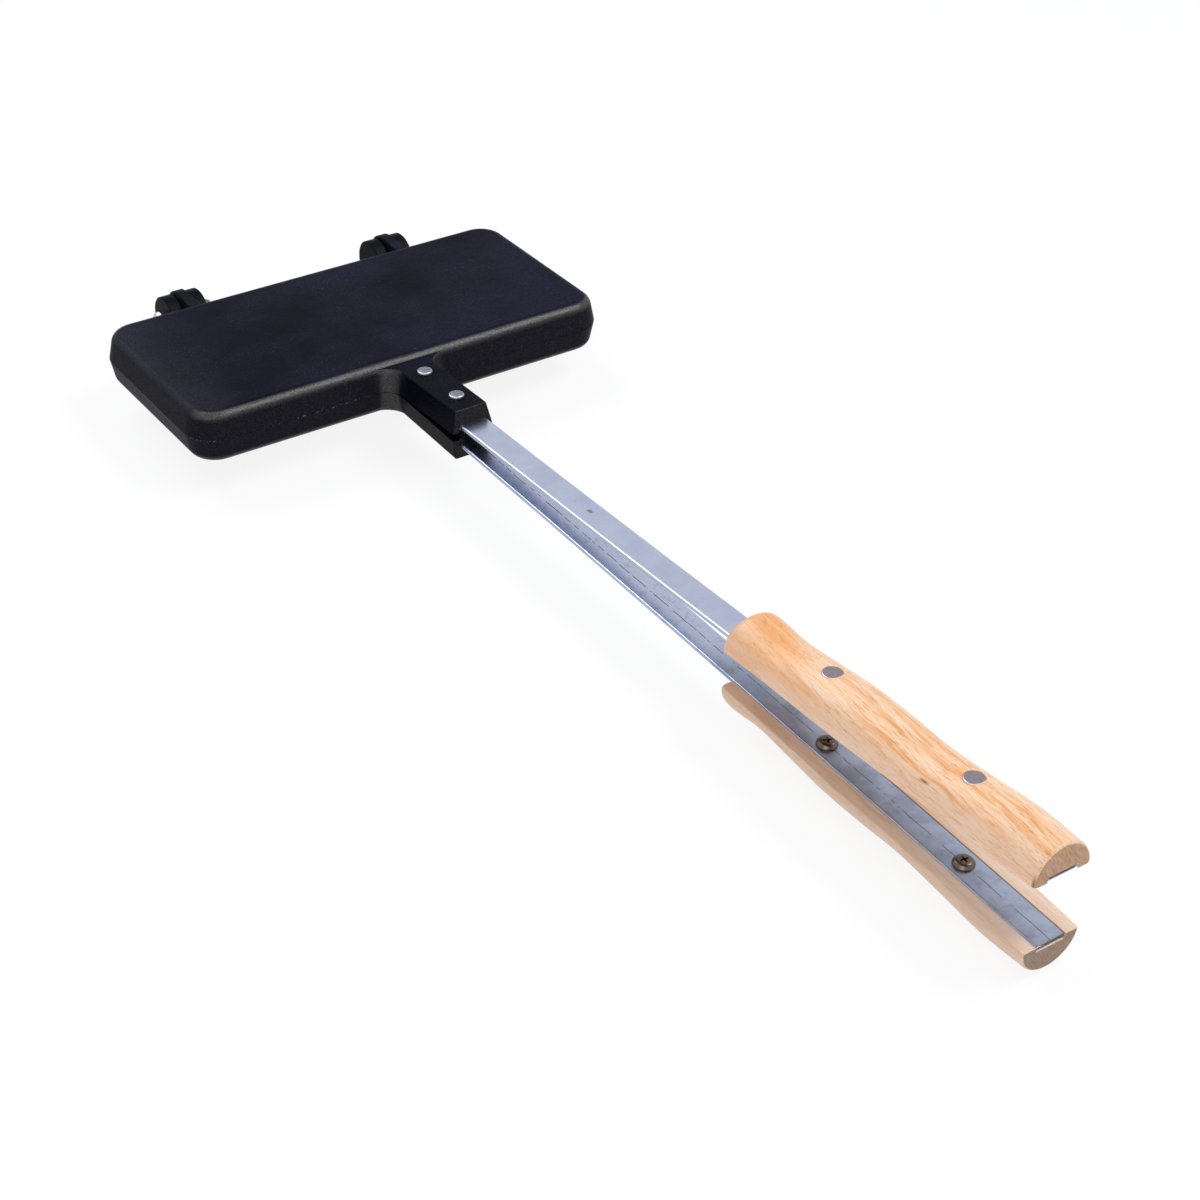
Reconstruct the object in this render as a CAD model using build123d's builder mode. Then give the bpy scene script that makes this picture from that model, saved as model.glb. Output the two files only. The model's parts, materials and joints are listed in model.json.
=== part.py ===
from build123d import *
import os
from math import cos, radians, sin, sqrt, tan

# Double pie iron, closed. Millimetres.
# X runs along the head's long side, the handles point along -Y, Z is up.
# The origin is the centre of the lower pan's flat underside.
# Every casting, bar, rivet and grip is modelled where the upper one lies.
# The lower ones are its mirror images in the parting plane between the two rims.
# A reach is a distance in front of the head's front rim, along -Y.
# A height is a distance above the upper pan's rim plane.

# --- Pans ------------------------------------------------------------------------------
HEAD_WIDTH = 250.0          # along X, at the rim
HEAD_DEPTH = 121.6          # along Y, at the rim
PAN_HEIGHT = 14.55          # rim to outer face
RIM_GAP = 0.2               # left between the two cast rims
WALL_DRAFT = 11.3           # degrees, outer walls
CORNER_RADIUS = 17.0        # plan corners at the rim
OUTER_FILLET = 6.0          # between wall and outer face
RIM_WALL = 6.0              # wall thickness at the rim
FLOOR_THICKNESS = 4.0
DIVIDER_WIDTH = 9.0         # rib between the two cooking cavities, at the rim
CAVITY_DRAFT = 12.0         # degrees
CAVITY_CORNER = 11.0
CAVITY_FILLET = 3.0         # between cavity wall and floor

# --- Neck, cast with each pan ----------------------------------------------------------
NECK_LENGTH = 62.3          # in front of the rim
NECK_WIDTH = 24.5           # at the rim plane
NECK_TOP_DROP = 2.3         # neck's outer face below the pan's, at the wall
NECK_TOP_SLOPE = 1.9        # degrees
NECK_INNER_SLOPE = 1.9      # degrees by which each neck leaves the rim plane
NECK_ROOT_RADIUS = 10.0     # concave, between neck and pan wall
NECK_WEB_SPREAD = 15.0      # the root's run-out along the wall, beyond that radius
NECK_EDGE_FILLET = 0.9

# --- Handle bars, flattened tube -------------------------------------------------------
BAR_WIDTH = 15.8
BAR_THICKNESS = 2.35
BAR_EDGE_RADIUS = 1.0
BAR_START = 5.2             # reach of the bar's end in the neck
BAR_START_HEIGHT = 3.32     # inner face at that end
BAR_SLOPE = 0.95            # degrees, of the straight stretch in the neck
BAR_BOW = 16500.0           # radius of the rest
BAR_BOW_START = 2.0         # in front of the neck
BAR_FIT = 0.1               # each side of the bar, in the neck slot and in the grip's groove
BAR_END_RECESS = 0.9        # bar's free end behind the grip's end face
SEAM_WIDTH = 0.4            # groove along the inner face, where the tube's edges meet
SEAM_DEPTH = 0.15
TUBE_SLIT_WIDTH = 12.8      # what is left of the tube's bore, at the free end
TUBE_SLIT_HEIGHT = 0.35
TUBE_SLIT_DEPTH = 8.0

# --- Neck rivets -----------------------------------------------------------------------
REAR_RIVET_REACH = 13.6
FRONT_RIVET_INSET = 16.8    # behind the neck's end
RIVET_RADIUS = 2.5
RIVET_HEAD_RADIUS = 4.1
RIVET_HEAD_HEIGHT = 1.8
RIVET_HEAD_LAND = 1.2       # straight edge under the dome
RIVET_TAIL_RADIUS = 3.6
RIVET_TAIL_HEIGHT = 1.1
RIVET_TAIL_TAPER = 12.0     # degrees

# --- Grips -----------------------------------------------------------------------------
GRIP_REACH = 295.0
GRIP_LENGTH = 198.1
GRIP_PROFILE = [            # share of the length, width of the flat, height of the crest
    (0.00, 31.8, 15.2),
    (0.05, 32.0, 15.1),
    (0.13, 31.6, 13.5),
    (0.24, 32.2, 14.7),
    (0.36, 33.0, 16.1),
    (0.49, 32.5, 15.4),
    (0.61, 31.6, 14.0),
    (0.74, 31.2, 15.3),
    (0.87, 32.0, 16.5),
    (1.00, 30.3, 15.0),
]
GRIP_NOSE_RADIUS = 7.0      # at the end towards the head
GRIP_TAIL_RADIUS = 1.5
GRIP_EDGE_RADIUS = 1.2      # long edges of the flat
GRIP_ALLOWANCE = 4.0        # stock below the flat, cut off along the bar

# --- Grip screws and sleeve nuts -------------------------------------------------------
REAR_SCREW_INSET = 57.0     # from the grip's end towards the head
FRONT_SCREW_INSET = 52.1    # from the grip's free end
SLEEVE_HEAD_RADIUS = 4.85
SLEEVE_HEAD_THICKNESS = 1.4
SLEEVE_HEAD_SINK = 0.1      # below the crest of the wood
SLEEVE_RADIUS = 3.0
SCREW_RADIUS = 2.0
SCREW_REACH = 8.5           # length of shank beyond the bar
SLEEVE_BORE_SPARE = 1.0     # beyond the screw's tip
SCREW_HEAD_RADIUS = 4.9
SCREW_HEAD_HEIGHT = 2.6
SCREW_HEAD_CHAMFER = 1.0
CROSS_LENGTH = 5.2
CROSS_WIDTH = 1.1
CROSS_DEPTH = 1.5

# --- Hinges ----------------------------------------------------------------------------
HINGE_CENTRES = (-68.5, 62.0)
LUG_WIDTH = 6.3             # ear on the upper pan
KNUCKLE_WIDTH = 7.1         # each of the two ears on the lower pan
LUG_GAP_LEFT = 1.1          # between knuckle and lug
LUG_GAP_RIGHT = 0.4
EAR_DROP = 0.45             # ear's outer face below the pan's
EAR_RISE = 1.4              # barrel drawn out towards the outer face
EAR_WALL_GAP = 0.9          # barrel to the back rim
EAR_RIM_INSET = 0.6         # arm's inner face from the rim plane
EAR_ROOT = 7.0              # arm's length inside the back rim
EAR_EDGE_CHAMFER = 0.6
BOLT_RADIUS = 3.0
BOLT_HEAD_RADIUS = 5.25
BOLT_HEAD_HEIGHT = 3.3
BOLT_HEAD_LAND = 0.9        # straight edge under the dome
BOLT_SOCKET = 4.0           # across flats
BOLT_SOCKET_DEPTH = 2.0
BOLT_PLAY = 2.3             # left under the left bolt's head by its lock nut
BOLT_END = 0.3              # beyond the lock nut
BOLT_TIP_INSET = 0.5        # right bolt's tip, inside the knuckle that it is screwed into
BOLT_TIP_CHAMFER = 0.3
NUT_FLATS = 10.0
NUT_HEX_HEIGHT = 4.4
NUT_COLLAR_RADIUS = 4.6
NUT_COLLAR_HEIGHT = 1.7
NUT_CHAMFER = 0.7

# --- Fits, all radial ------------------------------------------------------------------
RUNNING_FIT = 0.06          # hinge bolt in the lug
HOLE_FIT = 0.05             # bolts, rivets, screws and sleeves in their holes
THREAD_FIT = 0.05           # screw in its sleeve, bolt in its nut
SEAT_FIT = 0.05             # along an axis, where a flat or a bow meets the bowed bar

# --- Derived places --------------------------------------------------------------------
PARTING_Z = PAN_HEIGHT + RIM_GAP / 2
RIM_Z = PAN_HEIGHT + RIM_GAP
PARTING = Plane.XY.offset(PARTING_Z)
RIM = Plane.XY.offset(RIM_Z)
FRONT_Y = -HEAD_DEPTH / 2
BACK_Y = HEAD_DEPTH / 2
WEB_WIDTH = NECK_WIDTH + 2 * (NECK_ROOT_RADIUS + NECK_WEB_SPREAD)
BARREL_RADIUS = RIM_GAP / 2 + PAN_HEIGHT - EAR_DROP - EAR_RISE
HINGE_Y = BACK_Y + BARREL_RADIUS + EAR_WALL_GAP
HINGE_WIDTH = 2 * KNUCKLE_WIDTH + LUG_WIDTH + LUG_GAP_LEFT + LUG_GAP_RIGHT
CAVITY_DEPTH = PAN_HEIGHT - FLOOR_THICKNESS
CAVITY_WIDTH = (HEAD_WIDTH - 2 * RIM_WALL - DIVIDER_WIDTH) / 2
CAVITY_SHIFT = (CAVITY_WIDTH + DIVIDER_WIDTH) / 2
GRIP_END = GRIP_REACH + GRIP_LENGTH
BAR_END = GRIP_END - BAR_END_RECESS
BOW_START = NECK_LENGTH + BAR_BOW_START
RIVET_REACHES = {"rear": REAR_RIVET_REACH, "front": NECK_LENGTH - FRONT_RIVET_INSET}
SCREW_REACHES = {"rear": GRIP_REACH + REAR_SCREW_INSET, "front": GRIP_END - FRONT_SCREW_INSET}
BEYOND = 20.0               # overshoot of cutting solids
STEP = 1.0                  # of reach, over which the bar's slope is taken


def bar_height(reach):
    """Height of the bar's inner face: a straight stretch, then the bow."""
    bowed = max(reach - BOW_START, 0.0)
    return BAR_START_HEIGHT + tan(radians(BAR_SLOPE)) * (reach - BAR_START) + bowed**2 / (2 * BAR_BOW)


def neck_height(reach):
    """Height of the neck's outer face."""
    return PAN_HEIGHT - NECK_TOP_DROP + tan(radians(NECK_TOP_SLOPE)) * reach


def crest_height(reach):
    """Height of the wood's crest above its flat, between the stations of the profile."""
    share = (reach - GRIP_REACH) / GRIP_LENGTH
    for (before, _, low), (after, _, high) in zip(GRIP_PROFILE, GRIP_PROFILE[1:]):
        if before <= share <= after:
            return low + (high - low) * (share - before) / (after - before)
    return 0.0


def bar_plane(reach):
    """Plane on the bar's inner face, its normal pointing out through the bar."""
    slope = (bar_height(reach + STEP / 2) - bar_height(reach - STEP / 2)) / STEP
    origin = (0, FRONT_Y - reach, RIM_Z + bar_height(reach))
    return Plane(origin=origin, x_dir=(1, 0, 0), z_dir=(0, slope, 1))


def neck_plane(reach):
    """Plane on the neck's outer face, its normal pointing out."""
    origin = (0, FRONT_Y - reach, RIM_Z + neck_height(reach))
    return Plane(origin=origin, x_dir=(1, 0, 0), z_dir=(0, tan(radians(NECK_TOP_SLOPE)), 1))


def side(reach, height):
    """Point of a profile drawn in the YZ plane."""
    return (FRONT_Y - reach, RIM_Z + height)


def bar_section(low, high, start=BAR_START):
    """Side-view face between two lines that follow the bar, measured from its inner face."""
    tip = GRIP_END + BEYOND
    slope = radians(BAR_SLOPE)
    with BuildSketch(Plane.YZ) as section:
        with BuildLine():
            for lift in (low, high):
                bend = side(BOW_START, bar_height(BOW_START) + lift)
                Line(side(start, bar_height(start) + lift), bend)
                TangentArc(bend, side(tip, bar_height(tip) + lift), tangent=(-cos(slope), sin(slope)))
            for reach in (start, tip):
                Line(side(reach, bar_height(reach) + low), side(reach, bar_height(reach) + high))
        make_face()
    return section.sketch


# --- Pan castings ----------------------------------------------------------------------
def pan_block():
    """Drafted rounded block with its outer edge filleted."""
    with BuildPart() as block:
        with BuildSketch(RIM):
            RectangleRounded(HEAD_WIDTH, HEAD_DEPTH, CORNER_RADIUS)
        extrude(amount=PAN_HEIGHT, taper=WALL_DRAFT)
        fillet(block.faces().sort_by(Axis.Z)[-1].edges(), OUTER_FILLET)
    return block.part


def cavity_block():
    """Room for one sandwich: drafted pocket with a rounded floor."""
    with BuildPart() as pocket:
        with BuildSketch(RIM):
            RectangleRounded(CAVITY_WIDTH, HEAD_DEPTH - 2 * RIM_WALL, CAVITY_CORNER)
        extrude(amount=CAVITY_DEPTH, taper=CAVITY_DRAFT)
        fillet(pocket.faces().sort_by(Axis.Z)[-1].edges(), CAVITY_FILLET)
    return pocket.part


def neck_web():
    """Flared root of the neck, its upper edge rounded like the pan's."""
    half = NECK_WIDTH / 2
    root_x = half + NECK_ROOT_RADIUS
    root_y = FRONT_Y - NECK_ROOT_RADIUS
    edge_x = WEB_WIDTH / 2
    tongue_y = FRONT_Y - NECK_LENGTH / 2
    inside_y = FRONT_Y + WEB_WIDTH / 4
    with BuildPart() as web:
        with BuildSketch(RIM):
            with BuildLine():
                Polyline((-half, root_y), (-half, tongue_y), (half, tongue_y), (half, root_y))
                RadiusArc((half, root_y), (root_x, FRONT_Y), NECK_ROOT_RADIUS)
                Polyline((root_x, FRONT_Y), (edge_x, FRONT_Y), (edge_x, inside_y))
                Line((edge_x, inside_y), (-edge_x, inside_y))
                Polyline((-edge_x, inside_y), (-edge_x, FRONT_Y), (-root_x, FRONT_Y))
                RadiusArc((-root_x, FRONT_Y), (-half, root_y), NECK_ROOT_RADIUS)
            make_face()
        extrude(amount=PAN_HEIGHT, taper=WALL_DRAFT)
        fillet(web.faces().sort_by(Axis.Z)[-1].edges(), OUTER_FILLET)
    return web.part


def neck_block():
    """Neck with its flared root, sloping on both faces."""
    inner_rise = NECK_LENGTH * tan(radians(NECK_INNER_SLOPE))
    web = neck_web()
    with BuildPart() as neck:
        with BuildSketch(RIM):
            with Locations((0, FRONT_Y + (OUTER_FILLET - NECK_LENGTH) / 2)):
                Rectangle(NECK_WIDTH, NECK_LENGTH + OUTER_FILLET)
        extrude(amount=PAN_HEIGHT + NECK_TOP_DROP, taper=WALL_DRAFT)
        add(web)
        with BuildSketch(Plane.YZ.offset(-WEB_WIDTH / 2)):
            with BuildLine():
                Polyline(
                    side(-OUTER_FILLET, 0),
                    side(0, 0),
                    side(NECK_LENGTH, inner_rise),
                    side(NECK_LENGTH, neck_height(NECK_LENGTH)),
                    side(-OUTER_FILLET, neck_height(-OUTER_FILLET)),
                    close=True,
                )
            make_face()
        extrude(amount=WEB_WIDTH, mode=Mode.INTERSECT)
        end_edges = neck.faces().sort_by(Axis.Y)[0].edges()
        top_edges = neck.faces().sort_by(Axis.Z)[-1].edges()
        long_edges = top_edges.filter_by(lambda edge: edge.center().Y < FRONT_Y - NECK_ROOT_RADIUS)
        fillet(end_edges + long_edges, NECK_EDGE_FILLET)
    return neck.part


def ear(start, width):
    """Hinge ear: barrel round the bolt and an arm that runs into the pan's back wall."""
    arm_low = RIM_Z + EAR_RIM_INSET
    arm_high = RIM_Z + PAN_HEIGHT - EAR_DROP
    with BuildPart() as piece:
        with BuildSketch(Plane.YZ.offset(start)):
            with Locations((HINGE_Y, PARTING_Z + EAR_RISE / 2)):
                SlotCenterToCenter(EAR_RISE, 2 * BARREL_RADIUS, rotation=90)
            with BuildLine():
                Polyline(
                    (HINGE_Y, arm_low),
                    (BACK_Y - EAR_ROOT, arm_low),
                    (BACK_Y - EAR_ROOT, arm_high),
                    (HINGE_Y, arm_high),
                    close=True,
                )
            make_face()
        extrude(amount=width)
        chamfer(piece.faces().filter_by(Axis.X).edges(), EAR_EDGE_CHAMFER)
    return piece.part


def casting(ears, bore_radius):
    """Pan with neck and hinge ears, hollowed and drilled."""
    block = pan_block()
    neck = neck_block()
    cavity = cavity_block()
    ear_parts = [ear(start, width) for start, width in ears]
    slot = bar_section(-BEYOND, BAR_THICKNESS, start=BAR_START - BAR_FIT)
    with BuildPart() as piece:
        add(block)
        add(neck)
        add(ear_parts)
        with Locations((-CAVITY_SHIFT, 0), (CAVITY_SHIFT, 0)):
            add(cavity, mode=Mode.SUBTRACT)
        extrude(slot, amount=BAR_WIDTH / 2 + BAR_FIT, both=True, mode=Mode.SUBTRACT)
        with Locations([neck_plane(reach) for reach in RIVET_REACHES.values()]):
            Hole(RIVET_RADIUS + HOLE_FIT)
        with Locations(Plane(origin=(HEAD_WIDTH / 2, HINGE_Y, PARTING_Z), z_dir=(1, 0, 0))):
            Hole(bore_radius)
    return piece.part


lug_ears = []
knuckle_ears = []
for centre in HINGE_CENTRES:
    left_start = centre - HINGE_WIDTH / 2
    right_start = centre + HINGE_WIDTH / 2 - KNUCKLE_WIDTH
    lug_ears.append((left_start + KNUCKLE_WIDTH + LUG_GAP_LEFT, LUG_WIDTH))
    knuckle_ears += [(left_start, KNUCKLE_WIDTH), (right_start, KNUCKLE_WIDTH)]

os.makedirs("parts", exist_ok=True)

with BuildPart() as upper_pan:
    add(casting(lug_ears, BOLT_RADIUS + RUNNING_FIT))
upper_pan.part.label = "upper_pan"
export_step(upper_pan.part, "parts/upper_pan.step")

knuckle_casting = casting(knuckle_ears, BOLT_RADIUS + HOLE_FIT)
with BuildPart() as lower_pan:
    mirror(knuckle_casting, about=PARTING)
lower_pan.part.label = "lower_pan"
export_step(lower_pan.part, "parts/lower_pan.step")


# --- Handle bars -----------------------------------------------------------------------
def write_pair(piece, name):
    """Write a piece of the upper handle and its mirror image on the lower one."""
    piece.label = f"upper_{name}"
    export_step(piece, f"parts/upper_{name}.step")
    with BuildPart() as lower:
        mirror(piece, about=PARTING)
    lower.part.label = f"lower_{name}"
    export_step(lower.part, f"parts/lower_{name}.step")


body_section = bar_section(0, BAR_THICKNESS)
seam_section = bar_section(-BAR_THICKNESS, SEAM_DEPTH)
with BuildPart() as bar:
    extrude(body_section, amount=BAR_WIDTH / 2, both=True)
    split(bisect_by=Plane.XZ.offset(BAR_END - FRONT_Y), keep=Keep.BOTTOM)
    ends = bar.faces().sort_by(Axis.Y)[0].edges() + bar.faces().sort_by(Axis.Y)[-1].edges()
    long_edges = bar.edges().filter_by(Axis.X, reverse=True) - ends
    long_edges = long_edges.filter_by(lambda edge: edge.length > BAR_WIDTH)
    fillet(long_edges, BAR_EDGE_RADIUS)
    extrude(seam_section, amount=SEAM_WIDTH / 2, both=True, mode=Mode.SUBTRACT)
    with BuildSketch(Plane.XZ.offset(BAR_END - FRONT_Y)):
        with Locations((0, RIM_Z + bar_height(BAR_END) + BAR_THICKNESS / 2)):
            Rectangle(TUBE_SLIT_WIDTH, TUBE_SLIT_HEIGHT)
    extrude(amount=-TUBE_SLIT_DEPTH, mode=Mode.SUBTRACT)
    with Locations([neck_plane(reach) for reach in RIVET_REACHES.values()]):
        Hole(RIVET_RADIUS + HOLE_FIT)
    with Locations([bar_plane(reach).offset(BAR_THICKNESS) for reach in SCREW_REACHES.values()]):
        Hole(SCREW_RADIUS + HOLE_FIT)
write_pair(bar.part, "bar")


# --- Neck rivets -----------------------------------------------------------------------
def button_head(radius, height, land):
    """Low domed head, seated on the XY plane."""
    with BuildPart() as head:
        with BuildSketch(Plane.XZ):
            with BuildLine():
                Polyline((0, height), (0, 0), (radius, 0), (radius, land))
                TangentArc((0, height), (radius, land), tangent=(1, 0))
            make_face()
        revolve(axis=Axis.Z)
    return head.part


for place, reach in RIVET_REACHES.items():
    seat = neck_plane(reach)
    clamped = (neck_height(reach) - bar_height(reach)) * cos(radians(NECK_TOP_SLOPE)) + SEAT_FIT
    with BuildPart() as rivet:
        with Locations(seat):
            add(button_head(RIVET_HEAD_RADIUS, RIVET_HEAD_HEIGHT, RIVET_HEAD_LAND))
        with BuildSketch(seat):
            Circle(RIVET_RADIUS)
        extrude(amount=-clamped)
        with BuildSketch(seat.offset(-clamped)):
            Circle(RIVET_TAIL_RADIUS)
        extrude(amount=-RIVET_TAIL_HEIGHT, taper=RIVET_TAIL_TAPER)
    write_pair(rivet.part, f"{place}_rivet")


# --- Grips -----------------------------------------------------------------------------
grip_sections = []
for share, width, height in GRIP_PROFILE:
    seat = bar_plane(GRIP_REACH + share * GRIP_LENGTH)
    round_radius = (width**2 / 4 + height**2) / (2 * height)
    chord = 2 * sqrt(round_radius**2 - (height - round_radius + GRIP_ALLOWANCE) ** 2)
    low = -GRIP_ALLOWANCE
    with BuildSketch(Plane(origin=seat.origin, x_dir=(1, 0, 0), z_dir=-seat.y_dir)) as section:
        with BuildLine():
            ThreePointArc((chord / 2, low), (0, height), (-chord / 2, low))
            Line((-chord / 2, low), (chord / 2, low))
        make_face()
    grip_sections.append(section.sketch)

under_flat = bar_section(-BEYOND, 0)
groove = bar_section(-BEYOND, BAR_THICKNESS + SEAT_FIT)
with BuildPart() as grip:
    loft(grip_sections)
    for end, radius in ((-1, GRIP_NOSE_RADIUS), (0, GRIP_TAIL_RADIUS)):
        fillet(grip.faces().sort_by(Axis.Y)[end].edges().sort_by(Axis.Z)[-1], radius)
    extrude(under_flat, amount=BEYOND, both=True, mode=Mode.SUBTRACT)
    flat_edges = grip.faces().sort_by(Axis.Z)[0].edges()
    fillet(flat_edges.filter_by(lambda edge: edge.length > GRIP_LENGTH / 2), GRIP_EDGE_RADIUS)
    extrude(groove, amount=BAR_WIDTH / 2 + BAR_FIT, both=True, mode=Mode.SUBTRACT)
    for reach in SCREW_REACHES.values():
        seat = bar_plane(reach).offset(crest_height(reach) - SLEEVE_HEAD_SINK)
        with Locations(seat):
            CounterBoreHole(
                SLEEVE_RADIUS + HOLE_FIT,
                SLEEVE_HEAD_RADIUS + HOLE_FIT,
                SLEEVE_HEAD_THICKNESS,
            )
        with BuildSketch(seat):
            Circle(SLEEVE_HEAD_RADIUS + HOLE_FIT)
        extrude(amount=BEYOND, mode=Mode.SUBTRACT)
write_pair(grip.part, "grip")


# --- Sleeve nuts and screws ------------------------------------------------------------
for place, reach in SCREW_REACHES.items():
    seat = bar_plane(reach)
    sleeve_top = crest_height(reach) - SLEEVE_HEAD_SINK
    with BuildPart() as sleeve:
        with BuildSketch(seat.offset(sleeve_top)):
            Circle(SLEEVE_RADIUS)
        extrude(amount=BAR_THICKNESS + SEAT_FIT - sleeve_top)
        with BuildSketch(seat.offset(sleeve_top - SLEEVE_HEAD_THICKNESS)):
            Circle(SLEEVE_HEAD_RADIUS)
        extrude(amount=SLEEVE_HEAD_THICKNESS)
        with BuildSketch(seat.offset(BAR_THICKNESS)):
            Circle(SCREW_RADIUS + THREAD_FIT)
        extrude(amount=SCREW_REACH + SLEEVE_BORE_SPARE, mode=Mode.SUBTRACT)
    write_pair(sleeve.part, f"grip_{place}_sleeve")

    with BuildPart() as screw:
        with BuildSketch(seat):
            Circle(SCREW_HEAD_RADIUS)
        extrude(amount=-SCREW_HEAD_HEIGHT)
        chamfer(screw.faces().sort_by(Axis.Z)[0].edges(), SCREW_HEAD_CHAMFER)
        with BuildSketch(seat):
            Circle(SCREW_RADIUS)
        extrude(amount=BAR_THICKNESS + SCREW_REACH)
        with BuildSketch(seat.offset(-SCREW_HEAD_HEIGHT)):
            Rectangle(CROSS_LENGTH, CROSS_WIDTH)
            Rectangle(CROSS_WIDTH, CROSS_LENGTH)
        extrude(amount=CROSS_DEPTH, mode=Mode.SUBTRACT)
    write_pair(screw.part, f"grip_{place}_screw")


# --- Hinge bolts and lock nut ----------------------------------------------------------
def hinge_plane(centre, outward):
    """Plane on a hinge's left (-1) or right (1) face, centred on the bolt."""
    origin = (centre + outward * HINGE_WIDTH / 2, HINGE_Y, PARTING_Z)
    return Plane(origin=origin, x_dir=(0, 1, 0), z_dir=(outward, 0, 0))


def hinge_bolt(face, play, length):
    """Button-head bolt that stands off a hinge's face by its play, with its length in the hinge."""
    with BuildPart() as bolt:
        with Locations(face.offset(play)):
            add(button_head(BOLT_HEAD_RADIUS, BOLT_HEAD_HEIGHT, BOLT_HEAD_LAND))
        with BuildSketch(face.offset(-length)):
            Circle(BOLT_RADIUS)
        extrude(amount=length + play)
        tip = bolt.edges().filter_by(GeomType.CIRCLE).sort_by(Axis(face.origin, face.z_dir))[0]
        chamfer(tip, BOLT_TIP_CHAMFER)
        with BuildSketch(face.offset(play + BOLT_HEAD_HEIGHT)):
            RegularPolygon(BOLT_SOCKET / 2, 6, major_radius=False)
        extrude(amount=-BOLT_SOCKET_DEPTH, mode=Mode.SUBTRACT)
    return bolt.part


left_centre, right_centre = HINGE_CENTRES
nut_height = NUT_HEX_HEIGHT + NUT_COLLAR_HEIGHT

left_bolt = hinge_bolt(hinge_plane(left_centre, -1), BOLT_PLAY, HINGE_WIDTH + nut_height + BOLT_END)
left_bolt.label = "left_hinge_bolt"
export_step(left_bolt, "parts/left_hinge_bolt.step")

right_bolt = hinge_bolt(hinge_plane(right_centre, 1), 0, HINGE_WIDTH - BOLT_TIP_INSET)
right_bolt.label = "right_hinge_bolt"
export_step(right_bolt, "parts/right_hinge_bolt.step")

nut_face = hinge_plane(left_centre, 1)
with BuildPart() as nut:
    with BuildSketch(nut_face):
        RegularPolygon(NUT_FLATS / 2, 6, major_radius=False)
    extrude(amount=NUT_HEX_HEIGHT)
    with BuildSketch(nut_face.offset(NUT_HEX_HEIGHT)):
        Circle(NUT_COLLAR_RADIUS)
    extrude(amount=NUT_COLLAR_HEIGHT)
    chamfer(nut.faces().sort_by(Axis.X)[-1].edges(), NUT_CHAMFER)
    with BuildSketch(nut_face):
        Circle(BOLT_RADIUS + THREAD_FIT)
    extrude(amount=nut_height, mode=Mode.SUBTRACT)
nut.part.label = "left_hinge_nut"
export_step(nut.part, "parts/left_hinge_nut.step")
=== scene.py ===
import json
import math

import bmesh
import bpy
from mathutils import Matrix, Vector
from mathutils.noise import noise as perlin

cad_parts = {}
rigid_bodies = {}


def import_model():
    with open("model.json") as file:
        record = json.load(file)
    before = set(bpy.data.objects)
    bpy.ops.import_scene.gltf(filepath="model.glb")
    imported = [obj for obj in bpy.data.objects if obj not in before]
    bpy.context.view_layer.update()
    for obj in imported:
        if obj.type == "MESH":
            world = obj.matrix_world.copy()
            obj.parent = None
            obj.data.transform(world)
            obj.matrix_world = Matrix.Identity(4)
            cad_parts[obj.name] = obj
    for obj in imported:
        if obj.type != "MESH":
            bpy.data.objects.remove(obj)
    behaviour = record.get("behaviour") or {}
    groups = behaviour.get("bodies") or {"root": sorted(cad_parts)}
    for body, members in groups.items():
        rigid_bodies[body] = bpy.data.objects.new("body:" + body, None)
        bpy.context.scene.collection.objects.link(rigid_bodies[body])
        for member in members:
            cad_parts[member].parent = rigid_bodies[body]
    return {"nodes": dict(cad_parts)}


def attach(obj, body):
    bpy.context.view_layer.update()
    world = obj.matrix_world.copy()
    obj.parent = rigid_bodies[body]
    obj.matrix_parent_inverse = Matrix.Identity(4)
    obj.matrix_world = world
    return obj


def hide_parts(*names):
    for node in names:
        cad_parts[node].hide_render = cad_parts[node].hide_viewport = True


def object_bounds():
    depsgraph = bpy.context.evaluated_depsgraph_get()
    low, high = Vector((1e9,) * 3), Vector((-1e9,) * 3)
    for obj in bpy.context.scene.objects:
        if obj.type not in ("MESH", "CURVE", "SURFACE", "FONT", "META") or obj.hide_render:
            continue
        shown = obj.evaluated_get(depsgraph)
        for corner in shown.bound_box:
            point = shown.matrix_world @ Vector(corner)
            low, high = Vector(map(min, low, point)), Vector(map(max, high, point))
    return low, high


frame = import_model()
cad_low, cad_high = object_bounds()

# Double pie iron in the frame of its CAD model: +Z up, handles towards -Y.
# The origin is the centre of the lower pan's flat underside.
# Shapes are worked out in millimetres, for the upper half, and written in metres.
# A reach is a distance in front of the head's front rim, along -Y.

# --- Camera, fitted to the photo --------------------------------------------------------
CAMERA_PLACE = Vector((-0.53683, -1.00545, 0.62698))
CAMERA_AZIMUTH = math.radians(-35.011)
CAMERA_ELEVATION = math.radians(34.755)
CAMERA_ROLL = math.radians(1.18)
SENSOR = 36.0
LENS = 69.73

# --- Light, in metres and watts --------------------------------------------------------
WHITE = (1, 1, 1, 1)
AMBIENT = (0.86, 0.89, 1.0)
AMBIENT_STRENGTH = 0.42
LAMPS = [                   # name, direction from the object, distance, width, depth, power
    ("key", (0.45, -0.28, 0.85), 1.7, 0.75, 0.60, 15.0),
    ("back", (-0.16, 0.66, 0.73), 1.7, 1.25, 0.80, 13.0),
    ("front", (-0.62, -0.62, 0.48), 1.9, 1.10, 1.10, 8.0),
]
LAMP_AIM = (0.0, -0.22, 0.02)
FLOOR_DROP = 0.0004
FLOOR_SIZE = 30.0
FLOOR_SHADE = 0.12          # how much of the floor's shading the camera sees

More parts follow.
